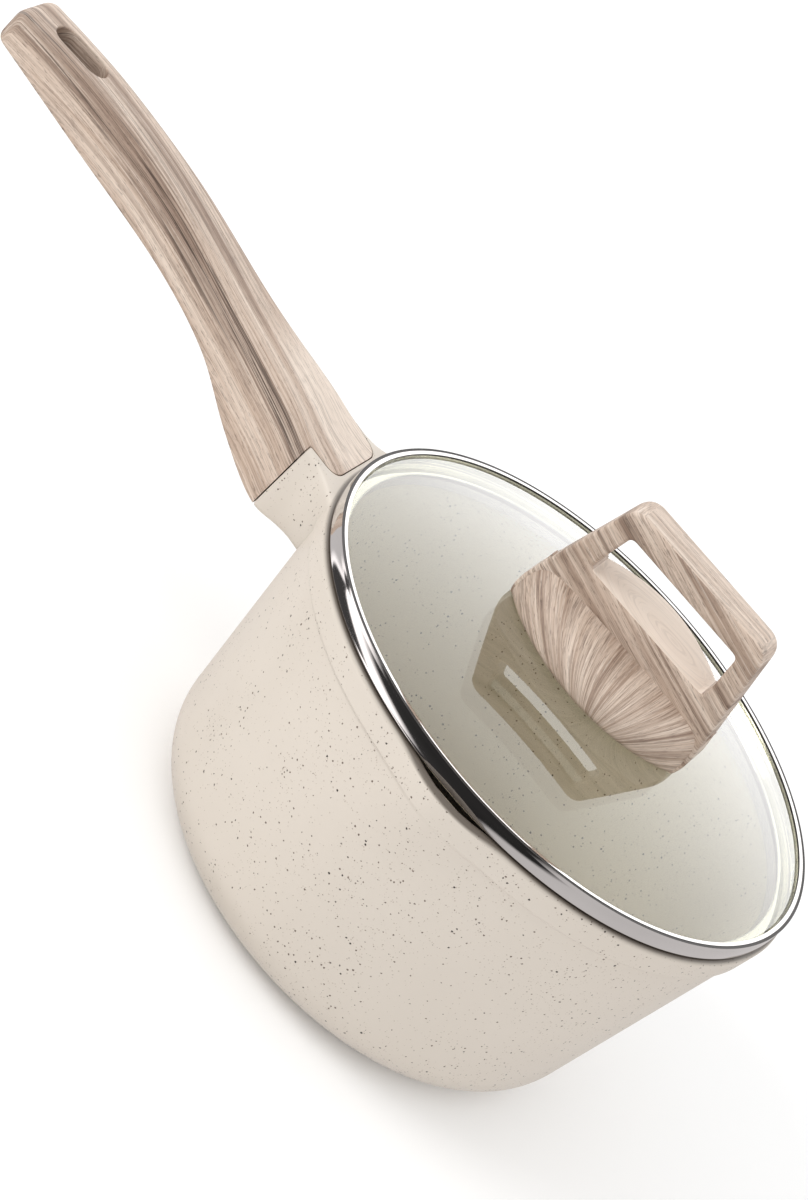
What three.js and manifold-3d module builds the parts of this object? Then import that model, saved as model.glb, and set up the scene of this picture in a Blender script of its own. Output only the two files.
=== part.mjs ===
// A die-cast aluminium saucepan with two pouring lips, a moulded wood-effect handle and a domed
// glass lid with a steel rim and a stirrup-shaped knob.
//
// Millimetres, +Z up. The origin is the centre of the base, on the plane the pan stands on.
// The handle reaches along -X and the pouring lips lie at -Y and +Y.
import * as THREE from "three";
import { mergeVertices } from "three/addons/utils/BufferGeometryUtils.js";
import Module from "manifold-3d";

const wasm = await Module();
wasm.setup();

// ---------------------------------------------------------------- driving dimensions

const GAP = 0.3; // clearance kept between pieces that touch on the real object
const TURN = 64; // facets around the pan and the lid

// pan
const MOUTH_RADIUS = 90; // inside radius at the mouth: an 18 cm saucepan
const RIM_RADIUS = 93.9; // widest point of the rim
const RIM_TOP = 99.7; // height of the rim above the base plane
const BAND_DEPTH = 9.4; // height of the thicker band under the rim
const BAND_STEP = 1.1; // how far that band stands proud of the wall
const WALL = 3.1; // wall thickness
const BASE_FLAT_RADIUS = 61; // flat of the base
const BASE_CURVE = 21; // radius of the curve from base to wall
const BASE_THICKNESS = 4.6;
const PLATE_RADIUS = 58; // steel plate let into the base
const PLATE_THICKNESS = 1.2;

// pouring lips
const LIP_REACH = 4.6; // how far a lip stands out of the rim circle
const LIP_HALF_ANGLE = THREE.MathUtils.degToRad(15);
const LIP_DEPTH = 34; // how far below the rim a lip fades out

// handle
const SEAM_X = -107.4; // joint between the cast lug and the moulded grip
const TIP_X = -263.5; // free end of the grip
const TIP_ROUND = 3.5; // plan radius of the free end's corners
const LUG_ROOT_X = -82; // the lug starts inside the pan's wall
const TONGUE_END_X = -95.4; // the grip's tongue on top of the lug
const TONGUE_HALF_WIDTH = 16;
const TONGUE_ROUND = 6;
const TONGUE_FLOOR = 94.2;
const TANG = { reach: -132, halfWidth: 6.5, low: 84, high: 92 };
const HANDLE_SCREW_X = -121;
const SLOT = { outer: -253.5, inner: -232.5, radius: 4.8 }; // hanging slot

// lid
const RING_RADIUS = 93; // outside of the steel rim
const RING_TOP = 106;
const RING_BOTTOM = 100;
const RING_SHEET = 0.7;
const RING_LIP_RADIUS = 90.7; // inner edge of the rim's top fold
const SKIRT_RADIUS = 87.6; // outside of the skirt that centres the lid in the mouth
const SKIRT_BOTTOM = 97.4;
const GLASS_THICKNESS = 3.8;
const GLASS_CROWN = 116; // top of the glass on the axis
const GLASS_EDGE_TOP = 104.8; // top of the glass at its edge
const GLASS_EDGE_RADIUS = 91.9;
const GLASS_HOLE_RADIUS = 5.2;

// knob
const KNOB_TOP = 163.6;
const KNOB_HALF_THICKNESS = 7.5; // of the stirrup's plate
const KNOB_TOP_HALF = 28.8; // half length of the stirrup at its top
const KNOB_FOOT_HALF = 38; // half length at the glass
const KNOB_CORNER = 5.5;
const KNOB_FOOT_ROUND = 5; // rounding of the stirrup's lower ends
const FOOT_HALF_WIDTH = 27; // of the lens-shaped foot
const FOOT_BASE = 117.2; // height at which the foot is widest
const FOOT_RISE = 13.6; // from there to the foot's crown
const WINDOW = { low: 139, high: 155.4, lowHalf: 25.2, highHalf: 23.6, round: 2.4 };
const SHOULDER_REACH = 19.6; // how far the shoulder behind the window stands out at its top

// ---------------------------------------------------------------- helpers

// A closed mesh as a manifold-3d solid, so that solids can be joined and cut.
function solid(geometry) {
  const bare = geometry.clone();
  bare.deleteAttribute("normal");
  bare.deleteAttribute("uv");
  const merged = mergeVertices(bare, 1e-4);
  const vertProperties = new Float32Array(merged.attributes.position.array);
  const triVerts = new Uint32Array(merged.index.array);
  return new wasm.Manifold(new wasm.Mesh({ numProp: 3, vertProperties, triVerts }));
}

// A solid back as a three.js geometry.
function geometryOf(made) {
  const mesh = made.getMesh();
  const geometry = new THREE.BufferGeometry();
  geometry.setAttribute("position", new THREE.BufferAttribute(mesh.vertProperties, 3));
  geometry.setIndex(new THREE.BufferAttribute(mesh.triVerts, 1));
  geometry.computeVertexNormals();
  return geometry;
}

// A profile of [radius, height] pairs turned about the Z axis. Its faces point outwards
// whichever way round the profile is written.
function turned(profile, segments = TURN) {
  let area = 0;
  profile.forEach(([r, z], i) => {
    const [nextR, nextZ] = profile[(i + 1) % profile.length];
    area += r * nextZ - nextR * z;
  });
  const ordered = area > 0 ? profile : [...profile].reverse();
  const points = ordered.map(([r, z]) => new THREE.Vector2(r, z));
  const onAxis = points[0].x === 0 && points[points.length - 1].x === 0;
  if (!onAxis) points.push(points[0].clone());
  return new THREE.LatheGeometry(points, segments).rotateX(Math.PI / 2);
}

// Points on an arc of a profile, from one angle to another in degrees.
function arc(centreR, centreZ, radius, from, to, steps) {
  return Array.from({ length: steps + 1 }, (_, i) => {
    const angle = THREE.MathUtils.degToRad(from + ((to - from) * i) / steps);
    return [centreR + radius * Math.cos(angle), centreZ + radius * Math.sin(angle)];
  });
}

// A plain round bar standing along Z.
function bar(radius, low, high, x = 0, segments = 24) {
  return new THREE.CylinderGeometry(radius, radius, high - low, segments)
    .rotateX(Math.PI / 2)
    .translate(x, 0, (low + high) / 2);
}

// A closed skin through sections that stand across the X axis. section(t, angle) gives the
// point at t along the piece, from 0 at its +X end to 1, and at an angle around it.
function lofted(section, lengths, around) {
  const skin = new THREE.CylinderGeometry(1, 1, 1, around, lengths);
  const at = skin.attributes.position;
  const point = new THREE.Vector3();
  for (let i = 0; i < at.count; i += 1) {
    point.fromBufferAttribute(at, i);
    const spread = Math.hypot(point.x, point.z);
    const angle = Math.atan2(point.x, point.z);
    const t = point.y + 0.5;
    const { x, y, z, middle } = section(t, angle);
    at.setXYZ(i, x, y * spread, middle + (z - middle) * spread);
  }
  return skin;
}

// A prism along Z over a plan outline.
function prism(shape, low, high, curveSegments = 10) {
  const depth = high - low;
  return new THREE.ExtrudeGeometry(shape, { depth, bevelEnabled: false, curveSegments })
    .translate(0, 0, low);
}

// The sign-keeping power that rounds a box towards an ellipse.
function eased(value, power) {
  return Math.sign(value) * Math.abs(value) ** power;
}

// A smooth curve through [place, value] pairs, read at any place.
function graded(pairs) {
  const curve = new THREE.CatmullRomCurve3(
    pairs.map(([place, value]) => new THREE.Vector3(place, value, 0)),
    false,
    "centripetal",
  );
  const table = curve.getPoints(pairs.length * 24);
  return (place) => {
    const next = table.findIndex((p) => p.x >= place);
    if (next < 0) return table[table.length - 1].y;
    if (next === 0) return table[0].y;
    const [a, b] = [table[next - 1], table[next]];
    return a.y + ((b.y - a.y) * (place - a.x)) / (b.x - a.x);
  };
}

const paint = {
  cream: new THREE.MeshStandardMaterial({ color: 0xe7ddd1, roughness: 0.45, metalness: 0 }),
  wood: new THREE.MeshStandardMaterial({ color: 0xc3a993, roughness: 0.55, metalness: 0 }),
  glass: new THREE.MeshStandardMaterial({
    color: 0xdfe5e2,
    roughness: 0.05,
    metalness: 0,
    transparent: true,
    opacity: 0.35,
  }),
  polished: new THREE.MeshStandardMaterial({ color: 0xc9c9cc, roughness: 0.12, metalness: 1 }),
  brushed: new THREE.MeshStandardMaterial({ color: 0xb4b4b6, roughness: 0.35, metalness: 1 }),
  brass: new THREE.MeshStandardMaterial({ color: 0xb8924a, roughness: 0.35, metalness: 1 }),
  silicone: new THREE.MeshStandardMaterial({ color: 0xd8d4cc, roughness: 0.8, metalness: 0 }),
};

const saucepan = new THREE.Group();
saucepan.name = "saucepan";

function addPiece(name, geometry, material) {
  const piece = new THREE.Mesh(geometry, material);
  piece.name = name;
  saucepan.add(piece);
}

// ---------------------------------------------------------------- pan

// Where the straight wall touches the curve of the base, seen from the curve's centre.
function tangentAngle(centre, radius, end) {
  const [dr, dz] = [end[0] - centre[0], end[1] - centre[1]];
  const lean = Math.atan2(dz, dr) - Math.acos(radius / Math.hypot(dr, dz));
  return THREE.MathUtils.radToDeg(lean);
}

const bandFoot = RIM_TOP - BAND_DEPTH;
const wallTop = [RIM_RADIUS - BAND_STEP - 1.2, bandFoot - 1];

// Outside of the pan, from the axis under the base up to the rim.
function outsideProfile() {
  const centre = [BASE_FLAT_RADIUS, BASE_CURVE];
  const last = tangentAngle(centre, BASE_CURVE, wallTop);
  return [
    [0, 0],
    ...arc(centre[0], centre[1], BASE_CURVE, -90, last, 7),
    wallTop,
    [RIM_RADIUS - BAND_STEP, bandFoot],
    ...arc(RIM_RADIUS - 1.5, RIM_TOP - 1.5, 1.5, 0, 90, 3),
    [0, RIM_TOP],
  ];
}

// Inside of the pan, closed a little above the rim so that it cuts the mouth open.
function insideProfile() {
  const radius = BASE_CURVE - WALL;
  const centre = [BASE_FLAT_RADIUS, BASE_THICKNESS + radius];
  const mouthFoot = [wallTop[0] - WALL, wallTop[1]];
  const last = tangentAngle(centre, radius, mouthFoot);
  return [
    [0, BASE_THICKNESS],
    ...arc(centre[0], centre[1], radius, -90, last, 6),
    mouthFoot,
    [MOUTH_RADIUS, RIM_TOP - 1],
    [MOUTH_RADIUS + 0.8, RIM_TOP],
    [MOUTH_RADIUS + 0.8, RIM_TOP + 5],
    [0, RIM_TOP + 5],
  ];
}

// Draws a turned wall outwards at both pouring lips. The lip is fullest at the rim and
// fades into the wall below it.
function withLips(geometry) {
  const at = geometry.attributes.position;
  for (let i = 0; i < at.count; i += 1) {
    const [x, y, z] = [at.getX(i), at.getY(i), at.getZ(i)];
    const radius = Math.hypot(x, y);
    const away = Math.abs(Math.abs(Math.atan2(y, x)) - Math.PI / 2);
    const depth = (RIM_TOP - z) / LIP_DEPTH;
    if (radius < RIM_RADIUS / 2 || away > LIP_HALF_ANGLE || depth > 1) continue;
    const across = (1 + Math.cos((Math.PI * away) / LIP_HALF_ANGLE)) / 2;
    const down = (1 + Math.cos(Math.PI * Math.max(depth, 0))) / 2;
    const grown = (radius + LIP_REACH * across * down) / radius;
    at.setXYZ(i, x * grown, y * grown, z);
  }
  return geometry;
}

// ---------------------------------------------------------------- handle sections

// Heights and half widths of lug and grip against X.
const handleTop = graded([
  [TIP_X, 120.8], [-245, 121.7], [-228, 121.8], [-193, 118.9], [-151, 110.7],
  [-119, 104.4], [SEAM_X, 101.3], [-96, 99.6], [LUG_ROOT_X, 99.2],
]);
const handleUnder = graded([
  [TIP_X, 108.4], [-221, 102.6], [-177, 96.8], [-152, 90], [-130, 79.6],
  [SEAM_X, 72.3], [-97, 73.4], [LUG_ROOT_X, 73.6],
]);
const handleHalfWidth = graded([
  [TIP_X, 12.2], [-230, 12], [-190, 11.7], [-151, 12.6], [-125, 15.3],
  [SEAM_X, 18.1], [-99, 20.4], [-93, 25], [-88, 31], [LUG_ROOT_X, 38],
]);
// How much narrower the section is at its underside, as a share of its half width.
const handleLean = graded([
  [TIP_X, 0.04], [-151, 0.05], [SEAM_X, 0.09], [-99, 0.2], [-93, 0.36], [LUG_ROOT_X, 0.55],
]);
// How square the section is: crisp corners at the seam, soft ones towards the tip.
const handleSquareness = graded([[TIP_X, 7], [-190, 6], [-140, 7], [SEAM_X, 14], [LUG_ROOT_X, 14]]);

// A point of a rounded square of half width 1, as its distances across and up.
function squared(angle, squareness) {
  const [across, up] = [Math.sin(angle), Math.cos(angle)];
  const reach = (Math.abs(across) ** squareness + Math.abs(up) ** squareness) ** (-1 / squareness);
  return [across * reach, up * reach];
}

// One point of the handle's skin. Near the tip the plan closes round the end's corners, and
// around the section the points crowd towards its four corners.
function handlePoint(t, angle) {
  const x = LUG_ROOT_X + (TIP_X - LUG_ROOT_X) * t;
  const fromTip = Math.min(x - TIP_X, TIP_ROUND);
  const rounding = Math.sqrt(1 - (1 - fromTip / TIP_ROUND) ** 2);
  const narrowed = TIP_ROUND * (1 - rounding);
  const top = handleTop(x) - narrowed / 2;
  const under = handleUnder(x) + narrowed / 2;
  const middle = (top + under) / 2;
  const halfHeight = (top - under) / 2;
  const crowded = angle + 0.14 * Math.sin(4 * angle);
  const [across, up] = squared(crowded, handleSquareness(x));
  const lean = (handleLean(x) * (1 - up)) / 2;
  const y = (handleHalfWidth(x) - narrowed) * across * (1 - lean);
  return { x, y, z: middle + halfHeight * up, middle };
}

// Stations crowd together towards the tip, where the plan turns fastest.
function handleSkin() {
  const spaced = (t) => 1 - (1 - t) ** 1.7;
  return lofted((t, angle) => handlePoint(spaced(t), angle), 26, 32);
}

// Plan of the grip's tongue, with rounded corners at its end, grown by a clearance.
function tonguePlan(grow) {
  const end = TONGUE_END_X + grow;
  const half = TONGUE_HALF_WIDTH + grow;
  const start = SEAM_X - 6;
  const plan = new THREE.Shape();
  plan.moveTo(start, -half - 4);
  plan.lineTo(SEAM_X, -half - 2.4);
  plan.lineTo(end - TONGUE_ROUND - 1, -half);
  plan.quadraticCurveTo(end, -half, end, -half + TONGUE_ROUND);
  plan.lineTo(end, half - TONGUE_ROUND);
  plan.quadraticCurveTo(end, half, end - TONGUE_ROUND - 1, half);
  plan.lineTo(SEAM_X, half + 2.4);
  plan.lineTo(start, half + 4);
  plan.closePath();
  return plan;
}

// Plan of the hanging slot, a stadium.
function slotPlan() {
  const { outer, inner, radius } = SLOT;
  const plan = new THREE.Shape();
  plan.moveTo(outer + radius, -radius);
  plan.lineTo(inner - radius, -radius);
  plan.absarc(inner - radius, 0, radius, -Math.PI / 2, Math.PI / 2, false);
  plan.lineTo(outer + radius, radius);
  plan.absarc(outer + radius, 0, radius, Math.PI / 2, (Math.PI * 3) / 2, false);
  return plan;
}

// A block between two corners.
function block(low, high) {
  const size = high.map((value, i) => value - low[i]);
  const centre = high.map((value, i) => (value + low[i]) / 2);
  return new THREE.BoxGeometry(...size).translate(...centre);
}

const handle = solid(handleSkin());
const wide = 60;
const tall = 200;

// Heights along the handle screw, which goes up through the grip into the tang.
const screwSeat = TANG.low - GAP - 2;
const screw = { shankRadius: 2.5, headRadius: 4.6, headHeight: 2.6, washerRadius: 5.2 };
const washerThickness = 1;
const tangHoleTop = TANG.high - 1.5;

function panBody() {
  const outside = solid(withLips(turned(outsideProfile())));
  const inside = solid(withLips(turned(insideProfile())));
  const plateSeat = solid(bar(PLATE_RADIUS + GAP, -1, PLATE_THICKNESS + GAP, 0, TURN));
  const lug = handle
    .intersect(solid(block([SEAM_X + GAP / 2, -wide, 0], [0, wide, tall])))
    .subtract(solid(prism(tonguePlan(GAP), TONGUE_FLOOR - GAP, tall)));
  const { reach, halfWidth, low, high } = TANG;
  const tang = solid(block([reach, -halfWidth, low], [SEAM_X + 2, halfWidth, high]));
  const tapped = solid(bar(screw.shankRadius + GAP, 0, tangHoleTop, HANDLE_SCREW_X));
  return outside
    .add(lug)
    .add(tang.subtract(tapped))
    .subtract(inside)
    .subtract(plateSeat);
}

function handleGrip() {
  const { reach, halfWidth, low, high } = TANG;
  const behindSeam = solid(block([TIP_X - 5, -wide, 0], [SEAM_X - GAP / 2, wide, tall]));
  const tongue = solid(prism(tonguePlan(0), TONGUE_FLOOR, tall));
  const pocket = solid(block(
    [reach - GAP, -halfWidth - GAP, low - GAP],
    [SEAM_X + 1, halfWidth + GAP, high + GAP],
  ));
  const slot = solid(prism(slotPlan(), 60, tall));
  const screwHole = solid(bar(screw.shankRadius + GAP, 60, low, HANDLE_SCREW_X));
  const counterbore = solid(bar(screw.washerRadius + GAP, 60, screwSeat, HANDLE_SCREW_X));
  return handle
    .intersect(behindSeam.add(tongue))
    .subtract(pocket)
    .subtract(slot)
    .subtract(screwHole)
    .subtract(counterbore);
}

// A pan-head screw along Z with its head downwards and a slot across the head.
function screwUp(seat, tip, shankRadius, headRadius, headHeight, x = 0) {
  const under = seat - headHeight;
  const profile = [
    [0, under],
    [headRadius * 0.62, under],
    [headRadius * 0.92, under + headHeight * 0.35],
    [headRadius, seat],
    [shankRadius, seat],
    [shankRadius, tip - 1],
    [shankRadius - 0.8, tip],
    [0, tip],
  ];
  const drive = block([-headRadius, -0.5, under - 1], [headRadius, 0.5, under + 1.1]);
  const made = solid(turned(profile, 24)).subtract(solid(drive));
  return geometryOf(made).translate(x, 0, 0);
}

// A flat washer standing across Z.
function washer(innerRadius, outerRadius, low, high, x = 0) {
  const profile = [
    [innerRadius, low], [outerRadius, low], [outerRadius, high], [innerRadius, high],
  ];
  return turned(profile, 32).translate(x, 0, 0);
}

addPiece("pan_body", geometryOf(panBody()), paint.cream);
addPiece("induction_plate", bar(PLATE_RADIUS, 0, PLATE_THICKNESS, 0, TURN), paint.brushed);
addPiece("handle_grip", geometryOf(handleGrip()), paint.wood);

const washerTop = screwSeat - GAP;
const washerLow = washerTop - washerThickness;
addPiece(
  "handle_washer",
  washer(screw.shankRadius + GAP, screw.washerRadius, washerLow, washerTop, HANDLE_SCREW_X),
  paint.brushed,
);
addPiece(
  "handle_screw",
  screwUp(
    washerLow - GAP, tangHoleTop - 1, screw.shankRadius,
    screw.headRadius, screw.headHeight, HANDLE_SCREW_X,
  ),
  paint.brushed,
);

// ---------------------------------------------------------------- lid

// The glass is a spherical cap. Its radius follows from the crown and the edge.
const domeRise = GLASS_CROWN - GLASS_EDGE_TOP;
const domeRadius = (GLASS_EDGE_RADIUS ** 2 + domeRise ** 2) / (2 * domeRise);

// Height of the glass's top face at a distance from the axis.
function domeHeight(r) {
  return GLASS_CROWN - domeRadius + Math.sqrt(domeRadius ** 2 - r ** 2);
}

function lidGlass() {
  const steps = 6;
  const upper = Array.from({ length: steps + 1 }, (_, i) => {
    const r = GLASS_HOLE_RADIUS + ((GLASS_EDGE_RADIUS - 0.9 - GLASS_HOLE_RADIUS) * i) / steps;
    return [r, domeHeight(r)];
  });
  const lower = upper.map(([r, z]) => [r, z - GLASS_THICKNESS]).reverse();
  const edgeLow = GLASS_EDGE_TOP - GLASS_THICKNESS + 0.8;
  return turned([
    ...upper,
    [GLASS_EDGE_RADIUS, GLASS_EDGE_TOP - 0.8],
    [GLASS_EDGE_RADIUS, edgeLow],
    ...lower,
  ]);
}

// Folded sheet: a top lip over the glass, the outside band, a floor under the glass and a
// short skirt that hangs inside the pan's mouth.
function lidRing() {
  const sheet = RING_SHEET;
  const inner = SKIRT_RADIUS - sheet;
  return turned([
    [RING_LIP_RADIUS, RING_TOP - sheet],
    [RING_LIP_RADIUS, RING_TOP - sheet / 3],
    [RING_LIP_RADIUS + 0.4, RING_TOP],
    [RING_RADIUS - 0.7, RING_TOP],
    [RING_RADIUS, RING_TOP - 0.7],
    [RING_RADIUS, RING_BOTTOM + 0.5],
    [RING_RADIUS - 0.5, RING_BOTTOM],
    [SKIRT_RADIUS, RING_BOTTOM],
    [SKIRT_RADIUS, SKIRT_BOTTOM],
    [inner, SKIRT_BOTTOM],
    [inner, RING_BOTTOM + sheet],
    [RING_RADIUS - sheet, RING_BOTTOM + sheet],
    [RING_RADIUS - sheet, RING_TOP - sheet],
  ]);
}

addPiece("lid_glass", lidGlass(), paint.glass);
addPiece("lid_ring", lidRing(), paint.polished);

// ---------------------------------------------------------------- knob and its fixing

// The stirrup seen from the side, with its finger window.
function stirrupOutline() {
  const { low, high, lowHalf, highHalf, round } = WINDOW;
  const foot = FOOT_BASE - 6;
  const lean = (KNOB_FOOT_HALF - KNOB_TOP_HALF) / (KNOB_TOP - FOOT_BASE);
  const footHalf = KNOB_FOOT_HALF - KNOB_FOOT_ROUND;
  const sideAbove = KNOB_FOOT_HALF - lean * KNOB_FOOT_ROUND;
  const cornerLow = KNOB_TOP - KNOB_CORNER;
  const sideAtCorner = KNOB_TOP_HALF + lean * KNOB_CORNER;
  const outline = new THREE.Shape();
  outline.moveTo(-footHalf, foot);
  outline.lineTo(footHalf, foot);
  outline.quadraticCurveTo(KNOB_FOOT_HALF, foot + 2, sideAbove, FOOT_BASE + KNOB_FOOT_ROUND);
  outline.lineTo(sideAtCorner, cornerLow);
  outline.quadraticCurveTo(KNOB_TOP_HALF, KNOB_TOP, KNOB_TOP_HALF - KNOB_CORNER, KNOB_TOP);
  outline.lineTo(KNOB_CORNER - KNOB_TOP_HALF, KNOB_TOP);
  outline.quadraticCurveTo(-KNOB_TOP_HALF, KNOB_TOP, -sideAtCorner, cornerLow);
  outline.lineTo(-sideAbove, FOOT_BASE + KNOB_FOOT_ROUND);
  outline.quadraticCurveTo(-KNOB_FOOT_HALF, foot + 2, -footHalf, foot);
  const window = new THREE.Path();
  window.moveTo(-lowHalf + round, low);
  window.lineTo(lowHalf - round, low);
  window.quadraticCurveTo(lowHalf, low, lowHalf, low + round);
  window.lineTo(highHalf, high - round);
  window.quadraticCurveTo(highHalf, high, highHalf - round, high);
  window.lineTo(round - highHalf, high);
  window.quadraticCurveTo(-highHalf, high, -highHalf, high - round);
  window.lineTo(-lowHalf, low + round);
  window.quadraticCurveTo(-lowHalf, low, -lowHalf + round, low);
  outline.holes.push(window);
  return outline;
}

// The plate of the stirrup, with a small bevel all round.
function stirrup() {
  const bevel = 1;
  return new THREE.ExtrudeGeometry(stirrupOutline(), {
    depth: 2 * (KNOB_HALF_THICKNESS - bevel),
    bevelThickness: bevel,
    bevelSize: bevel,
    bevelOffset: -bevel,
    bevelSegments: 2,
    curveSegments: 6,
  })
    .translate(0, 0, -KNOB_HALF_THICKNESS + bevel)
    .rotateX(Math.PI / 2);
}

// Half width of the lens-shaped foot at a distance along X: an arc through both ends.
const lensRise = FOOT_HALF_WIDTH - KNOB_HALF_THICKNESS;
const lensHalf = 36;
const lensRadius = (lensHalf ** 2 + lensRise ** 2) / (2 * lensRise);

function footHalfWidth(x) {
  return FOOT_HALF_WIDTH - lensRadius + Math.sqrt(lensRadius ** 2 - x ** 2);
}

// One point of the foot's skin: a crowned upper half and a tucked-in lower half.
function footPoint(t, angle) {
  const x = lensHalf * Math.sin((0.5 - t) * Math.PI);
  const across = eased(Math.sin(angle), 0.9);
  const up = eased(Math.cos(angle), 0.9);
  const y = footHalfWidth(x) * across;
  return { x, y, z: FOOT_BASE + (up > 0 ? FOOT_RISE : 5) * up, middle: FOOT_BASE };
}

// Behind the window the foot swells into a shoulder whose top is level with the sill.
function shoulder() {
  const edge = 1.6;
  const rings = [
    { z: WINDOW.low, half: WINDOW.lowHalf, reach: SHOULDER_REACH - edge },
    { z: WINDOW.low - edge, half: WINDOW.lowHalf + edge, reach: SHOULDER_REACH },
    { z: FOOT_BASE, half: lensHalf, reach: FOOT_HALF_WIDTH },
    { z: FOOT_BASE - 4, half: lensHalf - 1, reach: FOOT_HALF_WIDTH - 1 },
  ];
  const steps = 14;
  const inner = KNOB_HALF_THICKNESS - 2;
  const points = rings.flatMap(({ z, half, reach }) => {
    const arched = Array.from({ length: steps + 1 }, (_, i) => {
      const along = (2 * i) / steps - 1;
      return [half * along, inner + (reach - inner) * (1 - along ** 2), z];
    });
    return [...arched, [-half, 0, z], [half, 0, z]];
  });
  return wasm.Manifold.hull(points);
}

const sealTop = GLASS_CROWN + GAP + 0.8;
const insertLow = sealTop + GAP;
const insertHigh = FOOT_BASE + 12;
const insertRadius = 4.6;

// The knob's underside follows the glass, with a round recess for its seal.
function knobBody() {
  const steps = 8;
  const reach = KNOB_FOOT_HALF + 4;
  const glassFace = Array.from({ length: steps + 1 }, (_, i) => {
    const r = (reach * i) / steps;
    return [r, domeHeight(r) + GAP];
  });
  const below = solid(turned([[0, 90], ...glassFace, [reach, 90]], 48));
  const sealSeat = solid(bar(14.6, 100, sealTop + GAP, 0, 32));
  const insertSeat = solid(bar(insertRadius + GAP, 100, insertHigh + GAP));
  return solid(stirrup())
    .add(solid(lofted(footPoint, 18, 28)))
    .add(shoulder())
    .subtract(below)
    .subtract(sealSeat)
    .subtract(insertSeat);
}

const knobScrew = { shankRadius: 2, headRadius: 4.4, headHeight: 2.6 };
const boreRadius = knobScrew.shankRadius + GAP;

// Under the glass: silicone seal with a sleeve through the hole, steel washer, screw head.
const glassUnder = GLASS_CROWN - GLASS_THICKNESS;
const lowerSealTop = domeHeight(13) - GLASS_THICKNESS - GAP;
const lowerSealLow = lowerSealTop - 1;
const capTop = lowerSealLow - GAP;
const capLow = capTop - 1.1;

function lowerSeal() {
  const sleeve = GLASS_HOLE_RADIUS - GAP;
  return turned([
    [boreRadius, lowerSealLow],
    [13, lowerSealLow],
    [13, lowerSealTop],
    [sleeve, lowerSealTop],
    [sleeve, GLASS_CROWN - 0.2],
    [boreRadius, GLASS_CROWN - 0.2],
  ], 32);
}

function knobInsert() {
  const bored = solid(bar(boreRadius, insertLow - 1, insertHigh - 1.5));
  return geometryOf(solid(bar(insertRadius, insertLow, insertHigh)).subtract(bored));
}

addPiece("knob", geometryOf(knobBody()), paint.wood);
addPiece("knob_insert", knobInsert(), paint.brass);
addPiece(
  "upper_seal",
  washer(boreRadius, 14, GLASS_CROWN + GAP, sealTop),
  paint.silicone,
);
addPiece("lower_seal", lowerSeal(), paint.silicone);
addPiece("knob_washer", washer(boreRadius, 11.5, capLow, capTop), paint.polished);
addPiece(
  "knob_screw",
  screwUp(
    capLow - GAP, insertHigh - 2.5, knobScrew.shankRadius,
    knobScrew.headRadius, knobScrew.headHeight,
  ),
  paint.polished,
);

export default saucepan;
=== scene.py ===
import math

import bmesh
import bpy
import numpy as np
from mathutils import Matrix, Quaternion, Vector


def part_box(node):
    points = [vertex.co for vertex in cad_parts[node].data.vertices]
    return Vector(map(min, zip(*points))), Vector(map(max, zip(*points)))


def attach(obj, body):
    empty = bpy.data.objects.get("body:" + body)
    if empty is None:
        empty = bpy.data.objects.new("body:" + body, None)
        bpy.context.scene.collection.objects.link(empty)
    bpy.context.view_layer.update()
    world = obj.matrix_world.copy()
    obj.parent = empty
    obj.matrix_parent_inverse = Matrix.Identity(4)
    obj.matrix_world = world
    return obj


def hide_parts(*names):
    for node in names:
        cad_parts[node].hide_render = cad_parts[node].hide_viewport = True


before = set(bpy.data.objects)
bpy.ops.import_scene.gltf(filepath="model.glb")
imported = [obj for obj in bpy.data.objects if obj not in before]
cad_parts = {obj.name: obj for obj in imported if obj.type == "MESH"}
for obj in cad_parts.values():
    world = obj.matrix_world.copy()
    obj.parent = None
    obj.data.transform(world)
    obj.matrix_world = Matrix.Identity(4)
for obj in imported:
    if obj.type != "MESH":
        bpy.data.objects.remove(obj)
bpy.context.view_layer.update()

# A cream saucepan with a wood-effect handle and a glass lid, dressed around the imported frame.
# Shapes are written in millimetres and turned into metres where a mesh is made.
MM = 0.001

# ------------------------------------------------------------------ driving dimensions, mm

TURN = 256  # points around the pan and the lid

# Sizes that the frame gives
ring_low, ring_high = (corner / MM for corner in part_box("lid_ring"))
_, glass_high = (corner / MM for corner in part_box("lid_glass"))
_, knob_high = (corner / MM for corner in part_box("knob"))
grip_low, grip_high = (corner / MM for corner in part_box("handle_grip"))
_, plate_high = (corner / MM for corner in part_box("induction_plate"))

RING_RADIUS = ring_high.x
RING_TOP = ring_high.z
SKIRT_DEEPER = 2  # below the CAD's skirt, so that no light shows under it at the pouring lips
SKIRT_BOTTOM = ring_low.z - SKIRT_DEEPER
GLASS_CROWN = glass_high.z
GLASS_RADIUS = glass_high.x
KNOB_TOP = knob_high.z
TIP_X = grip_low.x
TONGUE_END_X = grip_high.x

# pan: the wall leans out from the base's curve to the rim band, which stands proud of it
MOUTH_RADIUS = 90
RIM_RADIUS = 93.9
RIM_TOP = 99.7
BAND_FOOT = 90.3
BAND_PROUD = 1.1
WALL_TOP_RADIUS = 91.6
WALL_TOP = 89.3
WALL = 3.1  # thickness
BASE_FLAT = 61
BASE_CURVE = 21
BASE_THICKNESS = 4.6
SEAT_RADIUS = plate_high.x + 0.3
SEAT_DEPTH = plate_high.z + 0.3
LIP_REACH = 4.6
LIP_HALF_ANGLE = math.radians(15)
LIP_DEPTH = 34
LIP_EDGE_SHARE = 0.85  # how much of the rim band fades out at the middle of a lip
RIM_EDGE = 1.3
RIM_STEP = (BAND_FOOT - 1.2, BAND_FOOT + 0.5)
RIM_SHADE_FOOT = 97.9  # painted shade on the rim's top, darker towards the lid ring and in the gaps at the pouring lips, above this height and inside this radius
RIM_SHADE_INNER = 93.1
RIM_SHADE_FADE = 1.2

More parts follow.
